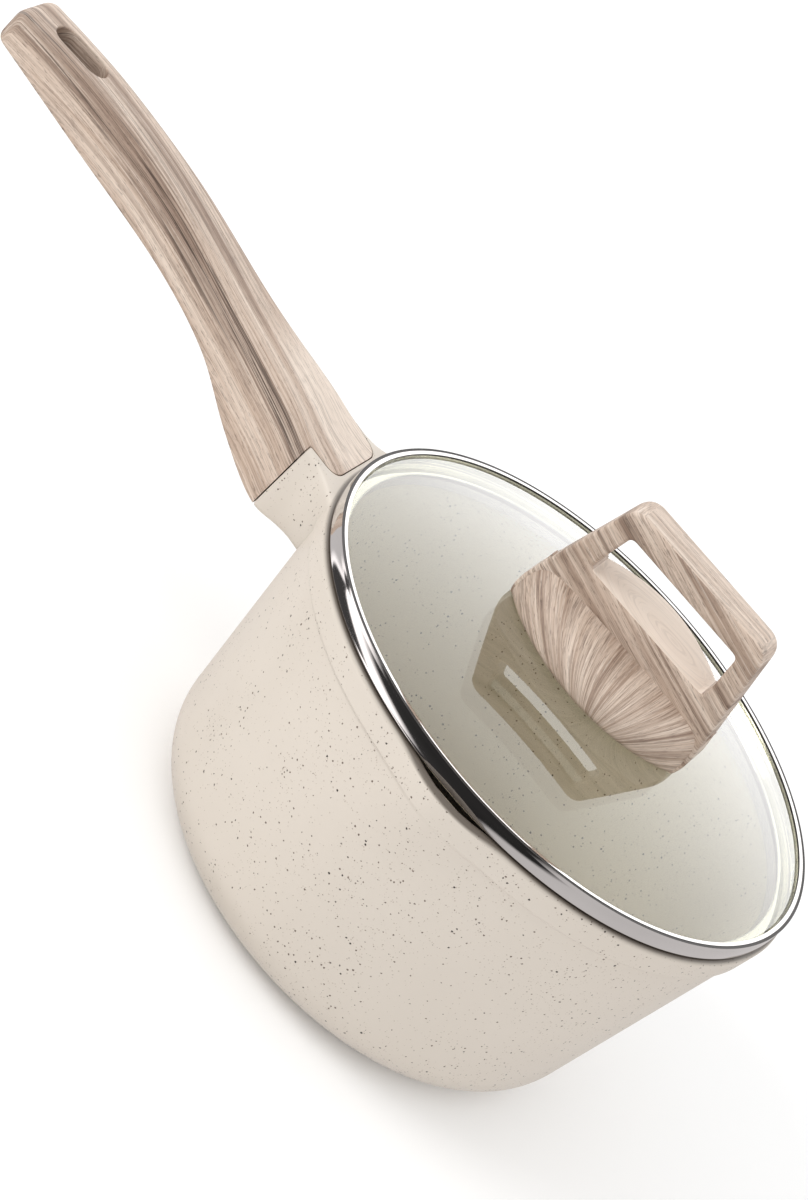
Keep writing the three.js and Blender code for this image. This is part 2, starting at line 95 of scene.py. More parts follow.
# handle: it runs towards -X, and the seam is where the lug ends and the grip begins
SEAM_X = -107.4
SEAM_GAP = 0.42
TIP_ROUND = 3.5
LUG_ROOT_X = -82
TONGUE_HALF_WIDTH = 16
TONGUE_ROUND = 6
TONGUE_FLOOR = 94.2
SEAM_BEVEL = 0.3
SLOT_OUTER = -253.5
SLOT_INNER = -232.5
SLOT_RADIUS = 5.2
SLOT_EDGE = 0.5
SCREW_X = -121
COUNTERBORE_RADIUS = 5.5
COUNTERBORE_TOP = 81.7

# lid: a steel ring folded from sheet, with a crease along its top that is painted dark as shade
RING_BOTTOM = 100
RING_SHEET = 0.7
RING_LIP_RADIUS = 90.7
CREASE_INNER = 92.0
CREASE_OUTER = 92.9
SKIRT_RADIUS = 87.6
GLASS_THICKNESS = 3.8
GLASS_EDGE_TOP = 104.8
GLASS_HOLE_RADIUS = 5.2

# knob: a stirrup-shaped plate across X with a finger window, on a lens-shaped foot
KNOB_HALF_THICKNESS = 7.5
KNOB_TOP_HALF = 28.8
KNOB_FOOT_HALF = 38
KNOB_CORNER = 5.5
KNOB_EDGE = 1.1
FOOT_HALF_WIDTH = 27
FOOT_HALF_LENGTH = 36
FOOT_BASE = 117.2
FOOT_RISE = 13.6
WINDOW_LOW = 139
WINDOW_HIGH = 155.4
WINDOW_LOW_HALF = 25.2
WINDOW_HIGH_HALF = 23.6
WINDOW_ROUND = 2.4
SHOULDER_REACH = 19.6
KNOB_CLEARANCE = 0.3  # over the glass
KNOB_SEAT_RADIUS = 14.6
KNOB_SEAT_RISE = 1.4

# The grain of the foot fans out from a point under its front edge.
FAN_X = 11
FAN_BELOW = 10.5
FAN_REACH = 44


# ------------------------------------------------------------------ mesh helpers

def skin(rings, looped=False):
    """Points and faces of a skin through rings of points. A ring of one point is a pole."""
    points, starts, faces = [], [], []
    for ring in rings:
        starts.append(len(points))
        points.extend(ring)
    pairs = list(zip(range(len(rings) - 1), range(1, len(rings))))
    if looped:
        pairs.append((len(rings) - 1, 0))
    for a, b in pairs:
        size_a, size_b = len(rings[a]), len(rings[b])
        around = max(size_a, size_b)
        for i in range(around):
            j = (i + 1) % around
            near = [starts[a] + i % size_a, starts[a] + j % size_a]
            far = [starts[b] + j % size_b, starts[b] + i % size_b]
            face = near[:1] + far if size_a == 1 else near + far[:1] if size_b == 1 else near + far
            faces.append(face)
    return points, faces


def solid(name, points, faces):
    """A mesh object with its faces pointing out. Points are in millimetres."""
    mesh = bpy.data.meshes.new(name)
    mesh.from_pydata((np.asarray(points, float) * MM).tolist(), [], faces)
    work = bmesh.new()
    work.from_mesh(mesh)
    bmesh.ops.remove_doubles(work, verts=work.verts, dist=1e-8)
    bmesh.ops.recalc_face_normals(work, faces=work.faces)
    work.to_mesh(mesh)
    work.free()
    obj = bpy.data.objects.new(name, mesh)
    bpy.context.scene.collection.objects.link(obj)
    return obj


def combine(body, tool, operation):
    """Joins or cuts body with tool, which is used up."""
    modifier = body.modifiers.new("combine", "BOOLEAN")
    modifier.operation = operation
    modifier.solver = "EXACT"
    modifier.object = tool
    graph = bpy.context.evaluated_depsgraph_get()
    made = bpy.data.meshes.new_from_object(body.evaluated_get(graph))
    body.modifiers.clear()
    body.data = made
    bpy.data.objects.remove(tool)
    return body


def dress(obj, look, body, slot, *nodes, sharp=32):
    """Gives a piece its material, shading and body, in place of the CAD nodes. slot is not used."""
    obj.data.materials.clear()
    obj.data.materials.append(look)
    obj.data.polygons.foreach_set("use_smooth", [True] * len(obj.data.polygons))
    obj.data.set_sharp_from_angle(angle=math.radians(sharp))
    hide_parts(*nodes)
    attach(obj, body)
    return obj


def arc(centre, radius, start, end, steps):
    """Points on an arc, from one angle to another in degrees."""
    angles = np.radians(np.linspace(start, end, steps + 1))
    return [(centre[0] + radius * math.cos(a), centre[1] + radius * math.sin(a)) for a in angles]


def straight(start, end, steps):
    """Points from start to end, without the ends."""
    return [
        tuple(np.asarray(start) + (np.asarray(end) - np.asarray(start)) * i / steps)
        for i in range(1, steps)
    ]


def bezier(start, corner, stop, steps):
    """Points on a quadratic curve, its ends included."""
    a, b, c = (np.asarray(p, float) for p in (start, corner, stop))
    return [
        tuple((1 - t) ** 2 * a + 2 * t * (1 - t) * b + t * t * c) for t in np.linspace(0, 1, steps + 1)
    ]


def turned(profile, shape=None, around=TURN):
    """Rings of a profile of (radius, height, ...) turned about Z. shape(point, extra) moves a point."""
    angles = np.linspace(0, 2 * math.pi, around, endpoint=False)
    rings = []
    for radius, height, *extra in profile:
        if radius == 0:
            rings.append([(0, 0, height)])
            continue
        ring = [(radius * math.cos(a), radius * math.sin(a), height) for a in angles]
        rings.append([shape(p, *extra) for p in ring] if shape else ring)
    return rings


def graded(pairs):
    """A smooth centripetal Catmull-Rom curve through (place, value) pairs, read at any place."""
    knots = np.asarray(sorted(pairs), float)
    ends = [2 * knots[0] - knots[1], *knots, 2 * knots[-1] - knots[-2]]
    places, values = [], []
    for p0, p1, p2, p3 in zip(ends, ends[1:], ends[2:], ends[3:]):
        t0, t1 = 0, math.sqrt(np.linalg.norm(p1 - p0))
        t2 = t1 + math.sqrt(np.linalg.norm(p2 - p1))
        t3 = t2 + math.sqrt(np.linalg.norm(p3 - p2))
        for t in np.linspace(t1, t2, 24, endpoint=False):
            a1 = ((t1 - t) * p0 + (t - t0) * p1) / (t1 - t0)
            a2 = ((t2 - t) * p1 + (t - t1) * p2) / (t2 - t1)
            a3 = ((t3 - t) * p2 + (t - t2) * p3) / (t3 - t2)
            b1 = ((t2 - t) * a1 + (t - t0) * a2) / (t2 - t0)
            b2 = ((t3 - t) * a2 + (t - t1) * a3) / (t3 - t1)
            place, value = ((t2 - t) * b1 + (t - t1) * b2) / (t2 - t1)
            places.append(place)
            values.append(value)
    places.append(knots[-1][0])
    values.append(knots[-1][1])
    return lambda x: float(np.interp(x, places, values))


def smooth(x):
    """Smooth step from 0 to 1."""
    x = min(max(x, 0), 1)
    return x * x * (3 - 2 * x)


# ------------------------------------------------------------------ material helpers

def srgb(red, green, blue):
    """An 8-bit screen colour as the linear colour a shader takes."""
    channels = [c / 255 for c in (red, green, blue)]
    return [c / 12.92 if c <= 0.04045 else ((c + 0.055) / 1.055) ** 2.4 for c in channels] + [1.0]


class Tree:
    """A material's or the world's node tree, written as nested calls."""

    def __init__(self, owner):
        self.nodes = owner.node_tree.nodes
        self.links = owner.node_tree.links
        self.nodes.clear()

    def add(self, kind, inputs=None, **settings):
        made = self.nodes.new(kind)
        for name, value in settings.items():
            setattr(made, name, value)
        for name, value in (inputs or {}).items():
            if isinstance(value, bpy.types.NodeSocket):
                self.links.new(value, made.inputs[name])
            else:
                made.inputs[name].default_value = value
        return made

    def math(self, operation, a, b=0.0):
        return self.add("ShaderNodeMath", {0: a, 1: b}, operation=operation).outputs[0]

    def vector(self, operation, a, b):
        return self.add("ShaderNodeVectorMath", {0: a, 1: b}, operation=operation).outputs[0]

    def noise(self, place, scale, detail=2.0, roughness=0.5):
        return self.add(
            "ShaderNodeTexNoise",
            {"Vector": place, "Scale": scale, "Detail": detail, "Roughness": roughness})

    def stretch(self, place, scale):
        return self.add("ShaderNodeMapping", {"Vector": place, "Scale": scale}).outputs[0]

    def remap(self, value, low, high, to_low=0.0, to_high=1.0, smooth_step=True):
        return self.add(
            "ShaderNodeMapRange",
            {"Value": value, "From Min": low, "From Max": high, "To Min": to_low, "To Max": to_high},
            interpolation_type="SMOOTHSTEP" if smooth_step else "LINEAR",
        ).outputs[0]

    def mix(self, factor, a, b):
        made = self.add("ShaderNodeMix", data_type="RGBA")
        for index, value in ((0, factor), (6, a), (7, b)):
            if isinstance(value, bpy.types.NodeSocket):
                self.links.new(value, made.inputs[index])
            else:
                made.inputs[index].default_value = value
        return made.outputs[2]

    def finish(self, shader, kind="ShaderNodeOutputMaterial"):
        self.add(kind, {"Surface": shader})


def material(name):
    """A new material and its empty node tree."""
    made = bpy.data.materials.new(name)
    made.use_nodes = True
    return made, Tree(made)


# ------------------------------------------------------------------ materials

def speckled_coating():
    """Satin cream ceramic coating with irregular dark specks in three sizes, and painted shade on the
    rim's top next to the lid ring and on the pouring lips' flat tops.
    """
    made, tree = material("speckled coating")
    place = tree.add("ShaderNodeTexCoord").outputs["Object"]
    cream_low, cream_high, rim_shade_tone = srgb(205, 195, 183), srgb(212, 203, 192), srgb(74, 63, 52)
    raggedness = 0.5 * MM
    wobble = tree.noise(place, 2600, 1.0).outputs["Color"]
    centred = tree.vector("SUBTRACT", wobble, (0.5, 0.5, 0.5))
    ragged = tree.vector("ADD", place, tree.vector("MULTIPLY", centred, (raggedness,) * 3))
    crowded = tree.remap(tree.noise(place, 38, 2.0).outputs["Fac"], 0.4, 0.62)
    colour = tree.mix(tree.noise(place, 14, 2.0).outputs["Fac"], cream_low, cream_high)
    #           cells per metre, share of cells, smallest and largest size, strength, colour
    layers = [
        (1500, 0.26, 0.16, 0.36, 0.42, srgb(118, 92, 68)),
        (820, 0.24, 0.14, 0.30, 0.90, srgb(78, 58, 42)),
        (420, 0.42, 0.07, 0.19, 1.00, srgb(40, 32, 27)),
    ]
    dark = None
    for density, share, small, large, strength, tone in layers:
        cells = tree.add(
            "ShaderNodeTexVoronoi", {"Vector": ragged, "Scale": density, "Randomness": 1.0})
        spread = tree.add("ShaderNodeSeparateColor", {"Color": cells.outputs["Color"]})
        present = tree.math("LESS_THAN", spread.outputs["Red"], share)
        crowd = tree.math("LESS_THAN", spread.outputs["Blue"], tree.math("ADD", crowded, 0.4))
        size = tree.remap(spread.outputs["Green"], 0.0, 1.0, small, large, False)
        inside = tree.math("SUBTRACT", size, cells.outputs["Distance"])
        speck = tree.remap(inside, 0.0, 0.05, 0.0, strength)
        speck = tree.math("MULTIPLY", speck, tree.math("MULTIPLY", present, crowd))
        colour = tree.mix(speck, colour, tone)
        dark = speck if dark is None else tree.math("MAXIMUM", dark, speck)
    lip = tree.add("ShaderNodeAttribute", attribute_name="lip").outputs["Fac"]
    flat = tree.vector("MULTIPLY", place, (1.0, 1.0, 0.0))
    radius = tree.add("ShaderNodeVectorMath", {0: flat}, operation="LENGTH").outputs["Value"]
    from_lid = tree.math("SUBTRACT", radius, lip)
    up = tree.add("ShaderNodeSeparateXYZ", {"Vector": place}).outputs["Z"]
    # painted shade: the rim's top darkens towards the lid ring as if in its shadow, and so does the
    # flat top of each pouring lip within the ring's reach
    rim_shade = tree.math(
        "MULTIPLY",
        tree.remap(up, RIM_SHADE_FOOT * MM, (RIM_SHADE_FOOT + RIM_EDGE) * MM, 0.0, 0.9),
        tree.remap(from_lid, RIM_SHADE_INNER * MM, (RIM_SHADE_INNER + RIM_SHADE_FADE) * MM, 1.0, 0.0))
    colour = tree.mix(rim_shade, colour, rim_shade_tone)
    peel = tree.noise(place, 900, 3.0).outputs["Fac"]
    height = tree.math("SUBTRACT", peel, tree.math("MULTIPLY", dark, 0.5))
    bump = tree.add("ShaderNodeBump", {"Height": height, "Strength": 0.06, "Distance": 0.0002})
    rough = tree.remap(tree.noise(place, 60, 3.0).outputs["Fac"], 0.3, 0.7, 0.36, 0.46)
    tree.finish(tree.add("ShaderNodeBsdfPrincipled", {
        "Base Color": colour, "Roughness": rough, "Normal": bump.outputs[0],
        "Specular IOR Level": 0.5,
    }).outputs[0])
    return made


def wood_effect():
    """Printed pale wood. Attributes: grain, the place in the wood with X along it, and figure.

    A figure above 0 is darker and below 0 paler. Above 1 it paints shade inside a slot, and below -0.9
    it paints light on the knob's sill.
    """
    made, tree = material("wood effect")
    grain = tree.add("ShaderNodeAttribute", attribute_name="grain").outputs["Vector"]
    figure = tree.add("ShaderNodeAttribute", attribute_name="figure").outputs["Fac"]
    wander = 5 * MM
    drift = tree.noise(tree.stretch(grain, (9, 30, 30)), 1.0, 2.0).outputs["Color"]
    drift = tree.vector("SUBTRACT", drift, (0.5, 0.5, 0.5))
    bent = tree.vector("ADD", grain, tree.vector("MULTIPLY", drift, (0.0, wander, wander)))

    def layer(cells, detail, roughness):
        """Noise with this many cells per metre along the wood, across it and into it."""
        return tree.noise(tree.stretch(bent, cells), 1.0, detail, roughness).outputs["Fac"]

    bands = layer((6, 170, 110), 3.0, 0.55)
    streaks = layer((9, 850, 420), 4.0, 0.7)
    fine = layer((70, 2600, 1500), 2.0, 0.6)
    lines = layer((5, 330, 150), 2.0, 0.5)
    pores = layer((340, 3000, 2000), 2.0, 0.6)
    light, mid, pale, painted_light = (
        srgb(209, 190, 174), srgb(188, 165, 147), srgb(228, 213, 199), srgb(250, 234, 218))
    # hollow is the painted shade inside the hanging slot
    dark, line, hollow = srgb(122, 99, 84), srgb(64, 47, 38), srgb(60, 46, 38)
    colour = tree.mix(tree.remap(bands, 0.36, 0.64), light, mid)
    shade = tree.math("ADD", tree.remap(bands, 0.36, 0.66, -0.3, 0.4), figure)
    colour = tree.mix(tree.remap(shade, 0.15, 1.0, 0.0, 0.62), colour, dark)
    colour = tree.mix(tree.remap(figure, -0.7, 0.0, 0.9, 0.0), colour, pale)
    strong = tree.remap(figure, -0.5, 0.8, 0.14, 0.75)
    streak = tree.math("MULTIPLY", tree.remap(streaks, 0.47, 0.62), strong)
    colour = tree.mix(streak, colour, dark)
    colour = tree.mix(tree.remap(streaks, 0.34, 0.47, 0.5, 0.0), colour, pale)
    colour = tree.mix(tree.remap(fine, 0.5, 0.66, 0.0, 0.3), colour, line)
    away = tree.math("ABSOLUTE", tree.math("SUBTRACT", lines, 0.5))
    vein = tree.remap(away, 0.0, 0.03, 1.0, 0.0)
    vein = tree.math("MULTIPLY", vein, tree.remap(figure, 0.1, 0.9, 0.05, 0.85))
    colour = tree.mix(vein, colour, line)
    pore = tree.remap(pores, 0.56, 0.68)
    quiet = tree.remap(figure, -1.0, -0.4, 0.1, 0.45)
    colour = tree.mix(tree.math("MULTIPLY", pore, quiet), colour, line)
    # painted light: a figure below -0.9 lifts the knob's sill towards a lit colour
    colour = tree.mix(tree.remap(figure, -1.5, -0.9, 0.75, 0.0), colour, painted_light)
    # painted shade inside the hanging slot, where figure is above 1
    colour = tree.mix(tree.remap(figure, 1.0, 1.8, 0.0, 0.8), colour, hollow)
    height = tree.math("SUBTRACT", tree.math("MULTIPLY", streaks, 0.5), pore)
    bump = tree.add("ShaderNodeBump", {"Height": height, "Strength": 0.15, "Distance": 0.2 * MM})
    rough = tree.remap(streaks, 0.3, 0.7, 0.42, 0.56)
    tree.finish(tree.add("ShaderNodeBsdfPrincipled", {
        "Base Color": colour, "Roughness": rough, "Normal": bump.outputs[0],
        "Specular IOR Level": 0.42,
    }).outputs[0])
    return made


def clear_glass():
    """Thin clear glass: light goes straight through, and each face mirrors more at a slant."""
    made, tree = material("clear glass")
    slant = tree.add("ShaderNodeLayerWeight", {"Blend": 0.5}).outputs["Facing"]
    mirror = tree.math("ADD", tree.math("MULTIPLY", tree.math("POWER", slant, 2.5), 0.95), 0.02)
    inner = tree.add("ShaderNodeNewGeometry").outputs["Backfacing"]
    mirror = tree.math("MULTIPLY", mirror, tree.remap(inner, 0.0, 1.0, 1.0, 0.35))
    haze = tree.noise(tree.add("ShaderNodeTexCoord").outputs["Object"], 20, 2.0).outputs["Fac"]
    clear = tree.mix(haze, (0.932, 0.937, 0.885, 1.0), (0.942, 0.945, 0.895, 1.0))
    through = tree.add("ShaderNodeBsdfTransparent", {"Color": clear})
    gloss = tree.add("ShaderNodeBsdfGlossy", {"Color": (1.0, 1.0, 1.0, 1.0), "Roughness": 0.0})
    tree.finish(tree.add(
        "ShaderNodeMixShader", {0: mirror, 1: through.outputs[0], 2: gloss.outputs[0]}).outputs[0])
    return made


def steel(name, colour, low, high, brushed):
    """Bare steel. brushed is how much the fine turning marks show."""
    made, tree = material(name)
    place = tree.add("ShaderNodeTexCoord").outputs["Object"]
    marks = tree.noise(tree.stretch(place, (160, 160, 5200)), 1.0, 2.0).outputs["Fac"]
    smear = tree.noise(place, 45, 3.0).outputs["Fac"]
    rough = tree.remap(smear, 0.3, 0.7, low, high)
    bump = tree.add(
        "ShaderNodeBump", {"Height": marks, "Strength": brushed, "Distance": 0.0001})
    tint = tree.mix(tree.math("MULTIPLY", smear, 0.25), colour, (0.45, 0.43, 0.44, 1.0))
    tree.finish(tree.add("ShaderNodeBsdfPrincipled", {
        "Base Color": tint, "Metallic": 1.0, "Roughness": rough, "Normal": bump.outputs[0],
    }).outputs[0])
    return made


def silicone():
    """Milky silicone with a soft skin."""
    made, tree = material("silicone")
    place = tree.add("ShaderNodeTexCoord").outputs["Object"]
    cloud = tree.noise(place, 120, 2.0).outputs["Fac"]
    colour = tree.mix(cloud, srgb(222, 218, 209), srgb(206, 202, 193))
    bump = tree.add("ShaderNodeBump", {
        "Height": tree.noise(place, 2500, 2.0).outputs["Fac"], "Strength": 0.1, "Distance": 0.0001})
    tree.finish(tree.add("ShaderNodeBsdfPrincipled", {
        "Base Color": colour, "Roughness": 0.6, "Normal": bump.outputs[0],
        "Subsurface Weight": 0.1, "Subsurface Scale": 0.001,
    }).outputs[0])
    return made


COATING = speckled_coating()
WOOD = wood_effect()
GLASS = clear_glass()
POLISHED = steel("polished steel", (0.84, 0.82, 0.81, 1.0), 0.04, 0.09, 0.02)
# Bluish, because it is seen through the glass, which takes that tint away.
SKIRT = steel("skirt steel", (0.60, 0.60, 0.82, 1.0), 0.12, 0.22, 0.1)
# near-black steel that paints shade in the ring's crease, on its lip's inner edge and under it
SHADE_STEEL = steel("painted shade steel", (0.016, 0.014, 0.011, 1.0), 0.4, 0.5, 0.1)
BRUSHED = steel("brushed steel", (0.62, 0.62, 0.63, 1.0), 0.26, 0.36, 0.35)
BRASS = steel("brass", (0.78, 0.58, 0.28, 1.0), 0.2, 0.3, 0.1)
SILICONE = silicone()


# ------------------------------------------------------------------ pan

def places_of(mesh):
    """The mesh's points in millimetres."""
    places = np.empty(len(mesh.vertices) * 3)
    mesh.vertices.foreach_get("co", places)
    return places.reshape(-1, 3) / MM


def write_attributes(obj, grain_of):
    """Stores, per face corner, the place in the wood and how dark its figure is."""
    mesh = obj.data
    places = places_of(mesh)
    rows = []
    for face in mesh.polygons:
        centre = face.center / MM
        rows.extend(grain_of(*places[index], centre) for index in face.vertices)
    grain = mesh.attributes.new("grain", "FLOAT_VECTOR", "CORNER")
    grain.data.foreach_set("vector", np.ravel([row[:3] for row in rows]) * MM)
    figure = mesh.attributes.new("figure", "FLOAT", "CORNER")
    figure.data.foreach_set("value", [float(row[3]) for row in rows])


def tangent_angle(centre, radius, end):
    """Where a straight wall touches the curve of the base, in degrees from its centre."""
    across, up = end[0] - centre[0], end[1] - centre[1]
    return math.degrees(math.atan2(up, across) - math.acos(radius / math.hypot(across, up)))


def lip_weight(x, y, z):
    """How strongly a point of the wall is drawn into a pouring lip, from 0 to 1."""
    away = abs(abs(math.atan2(y, x)) - math.pi / 2)
    depth = (RIM_TOP - z) / LIP_DEPTH
    if away > LIP_HALF_ANGLE or depth > 1:
        return 0, 0
    across = (1 + math.cos(math.pi * away / LIP_HALF_ANGLE)) / 2
    return across, (1 + math.cos(math.pi * max(depth, 0))) / 2


def on_wall(point, proud=0.0):
    """Moves a turned point outwards by the rim band and by a pouring lip."""
    x, y, z = point
    radius = math.hypot(x, y)
    across, down = lip_weight(x, y, z) if radius > RIM_RADIUS / 2 else (0, 0)
    band = proud * (1 - LIP_EDGE_SHARE * across)
    grown = (radius + band + LIP_REACH * across * down) / radius
    return x * grown, y * grown, z


def band_proud(z):
    """How far the rim band stands out of the wall at a height."""
    return BAND_PROUD * smooth((z - BAND_FOOT + 1.1) / 1.5)


def pan_outside():
    """Outside of the pan from the plate's seat to the rim, closed by a disc."""
    centre = (BASE_FLAT, BASE_CURVE)
    last = tangent_angle(centre, BASE_CURVE, (WALL_TOP_RADIUS, WALL_TOP))
    curve = arc(centre, BASE_CURVE, -90, last, 26)
    lean = (WALL_TOP_RADIUS - curve[-1][0]) / (WALL_TOP - curve[-1][1])
    step_low, step_high = RIM_STEP
    heights = [
        *np.linspace(curve[-1][1], step_low, 44)[1:],
        *np.linspace(step_low, step_high, 9)[1:],
        *np.linspace(step_high, RIM_TOP - RIM_EDGE, 8)[1:],
    ]
    wall = [(curve[-1][0] + lean * (z - curve[-1][1]), z, band_proud(z)) for z in heights]
    corner = arc((wall[-1][0] - RIM_EDGE, RIM_TOP - RIM_EDGE), RIM_EDGE, 0, 90, 8)[1:]
    seat = [(0, SEAT_DEPTH), (SEAT_RADIUS, SEAT_DEPTH), (SEAT_RADIUS, 0.25), (SEAT_RADIUS + 0.25, 0)]
    rim = [(r, z, BAND_PROUD) for r, z in corner]
    profile = [*seat, *curve, *wall, *rim, (MOUTH_RADIUS - 6, RIM_TOP), (0, RIM_TOP)]
    return solid("pan", *skin(turned(profile, on_wall)))


def pan_inside():
    """The hollow of the pan, carried on above the rim so that it opens the mouth."""
    radius = BASE_CURVE - WALL
    centre = (BASE_FLAT, BASE_THICKNESS + radius)
    foot = (WALL_TOP_RADIUS - WALL, WALL_TOP)
    last = tangent_angle(centre, radius, foot)
    curve = arc(centre, radius, -90, last, 24)
    mouth = [
        (MOUTH_RADIUS, RIM_TOP - 1), (MOUTH_RADIUS + 0.12, RIM_TOP - 0.62),
        (MOUTH_RADIUS + 0.36, RIM_TOP - 0.3), (MOUTH_RADIUS + 0.7, RIM_TOP - 0.1),
        (MOUTH_RADIUS + 1.05, RIM_TOP + 0.02), (MOUTH_RADIUS + 1.05, RIM_TOP + 3),
    ]
    profile = [
        (0, BASE_THICKNESS), *curve, *straight(curve[-1], foot, 34), foot,
        *straight(foot, mouth[0], 10), *mouth, (0, RIM_TOP + 3),
    ]
    return solid("hollow", *skin(turned(profile, on_wall)))


# ------------------------------------------------------------------ handle

# How the handle's section changes from the tip to the lug, as (place along X, value) pairs.
handle_top = graded([
    (TIP_X, 120.8), (-245, 121.7), (-228, 121.8), (-193, 118.9), (-151, 110.7),
    (-119, 104.4), (SEAM_X, 101.3), (-96, 99.6), (LUG_ROOT_X, 99.2),
])
handle_under = graded([
    (TIP_X, 108.4), (-221, 102.6), (-177, 96.8), (-152, 90), (-130, 79.6),
    (SEAM_X, 72.3), (-97, 73.4), (LUG_ROOT_X, 73.6),
])
handle_half_width = graded([
    (TIP_X, 12.2), (-230, 12), (-190, 11.7), (-151, 12.6), (-125, 15.3),
    (SEAM_X, 18.1), (-99, 20.4), (-93, 25), (-88, 31), (LUG_ROOT_X, 38),
])
handle_lean = graded([
    (TIP_X, 0.04), (-151, 0.05), (SEAM_X, 0.09), (-99, 0.2), (-93, 0.36), (LUG_ROOT_X, 0.55),
])
handle_squareness = graded([(TIP_X, 7), (-190, 6), (-140, 7), (SEAM_X, 14), (LUG_ROOT_X, 14)])


def handle_ring(x, inset=0.0, around=112):
    """The handle's section across X, drawn in by an inset."""
    from_tip = min(x - TIP_X, TIP_ROUND)
    narrowed = TIP_ROUND * (1 - math.sqrt(max(0, 1 - (1 - from_tip / TIP_ROUND) ** 2)))
    top = handle_top(x) - narrowed / 2 - inset
    under = handle_under(x) + narrowed / 2 + inset
    half = handle_half_width(x) - narrowed - inset
    squareness = handle_squareness(x)
    to_corners = 0.17  # crowds the points towards the section's corners
    ring = []
    for i in range(around):
        angle = 2 * math.pi * i / around
        angle += to_corners * math.sin(4 * angle)
        across, up = math.sin(angle), math.cos(angle)
        reach = (abs(across) ** squareness + abs(up) ** squareness) ** (-1 / squareness)
        across, up = across * reach, up * reach
        lean = handle_lean(x) * (1 - up) / 2
        y = half * across * (1 - lean)
        ring.append((x, y, (top + under) / 2 + (top - under) / 2 * up))
    return ring


def capped(rings):
    """Rings closed by a pole in the middle of the first and last."""
    ends = [[tuple(np.mean(ring, axis=0))] for ring in (rings[0], rings[-1])]
    return [ends[0], *rings, ends[1]]


def tongue_plan(grow):
    """Plan of the grip's tongue on the lug, grown by a clearance, as points."""
    end, half = TONGUE_END_X + grow, TONGUE_HALF_WIDTH + grow
    side = [(SEAM_X - 6, -half - 0.9), (SEAM_X, -half - 0.6)]
    start, stop = (end - TONGUE_ROUND - 1, -half), (end, -half + TONGUE_ROUND)
    near = [*side, *bezier(start, (end, -half), stop, 14)]
    return near + [(x, -y) for x, y in reversed(near)]


def prism(name, plan, low, high):
    """A prism over a plan outline."""
    count = len(plan)
    points = [(x, y, low) for x, y in plan] + [(x, y, high) for x, y in plan]
    sides = [[i, (i + 1) % count, count + (i + 1) % count, count + i] for i in range(count)]
    return solid(name, points, [list(range(count))[::-1], list(range(count, 2 * count)), *sides])


def block(name, low, high):
    """A block between two corners."""
    plan = [(low[0], low[1]), (high[0], low[1]), (high[0], high[1]), (low[0], high[1])]
    return prism(name, plan, low[2], high[2])


def slot_cutter():
    """The hanging slot with its rounded rims, following the handle's top and underside."""
    inner_centre, outer_centre = SLOT_INNER - SLOT_RADIUS, SLOT_OUTER + SLOT_RADIUS
    past = 3

    def loop(grow, height):
        right = [(inner_centre, a) for a in np.linspace(-math.pi / 2, math.pi / 2, 20)]
        left = [(outer_centre, a) for a in np.linspace(math.pi / 2, 3 * math.pi / 2, 20)]
        reach = SLOT_RADIUS + grow
        places = [(c + reach * math.cos(a), reach * math.sin(a)) for c, a in [*right, *left]]
        return [(x, y, height(x)) for x, y in places]

    def edge(face, inwards):
        """Rings of a rounded rim, from the face into the slot."""
        turns = np.radians(np.linspace(90, 0, 7))
        return [
            loop(SLOT_EDGE * (1 - math.cos(a)),
                 lambda x, a=a: face(x) + inwards * SLOT_EDGE * (1 - math.sin(a)))
            for a in turns
        ]

    rings = [
        loop(SLOT_EDGE, lambda x: handle_under(x) - past),
        *edge(handle_under, 1),
        loop(0, lambda x: (handle_under(x) + handle_top(x)) / 2),
        *reversed(edge(handle_top, -1)),
        loop(SLOT_EDGE, lambda x: handle_top(x) + past),
    ]
    return solid("slot", *skin(capped(rings)))


def lip_reach(x, y, z):
    """How far a pouring lip draws a point of the wall out."""
    across, down = lip_weight(x, y, z)
    return LIP_REACH * across * down * MM


def pan_piece():
    """The casting: wall, rim band, pouring lips and the lug that carries the handle."""
    seam = SEAM_X + SEAM_GAP / 2
    stations = np.linspace(LUG_ROOT_X, seam + SEAM_BEVEL, 30)
    rings = [handle_ring(x) for x in stations] + [handle_ring(seam, SEAM_BEVEL)]
    lug = solid("lug", *skin(capped(rings)))
    recess = prism("recess", tongue_plan(SEAM_GAP), TONGUE_FLOOR - SEAM_GAP, RIM_TOP + 30)
    combine(lug, recess, "DIFFERENCE")
    pan = combine(pan_outside(), lug, "UNION")
    combine(pan, pan_inside(), "DIFFERENCE")
    pan.name = "saucepan_body"
    reaches = [lip_reach(*place) for place in places_of(pan.data)]
    pan.data.attributes.new("lip", "FLOAT", "POINT").data.foreach_set("value", reaches)
    return dress(pan, COATING, "pan", "speckled_coating", "pan_body")


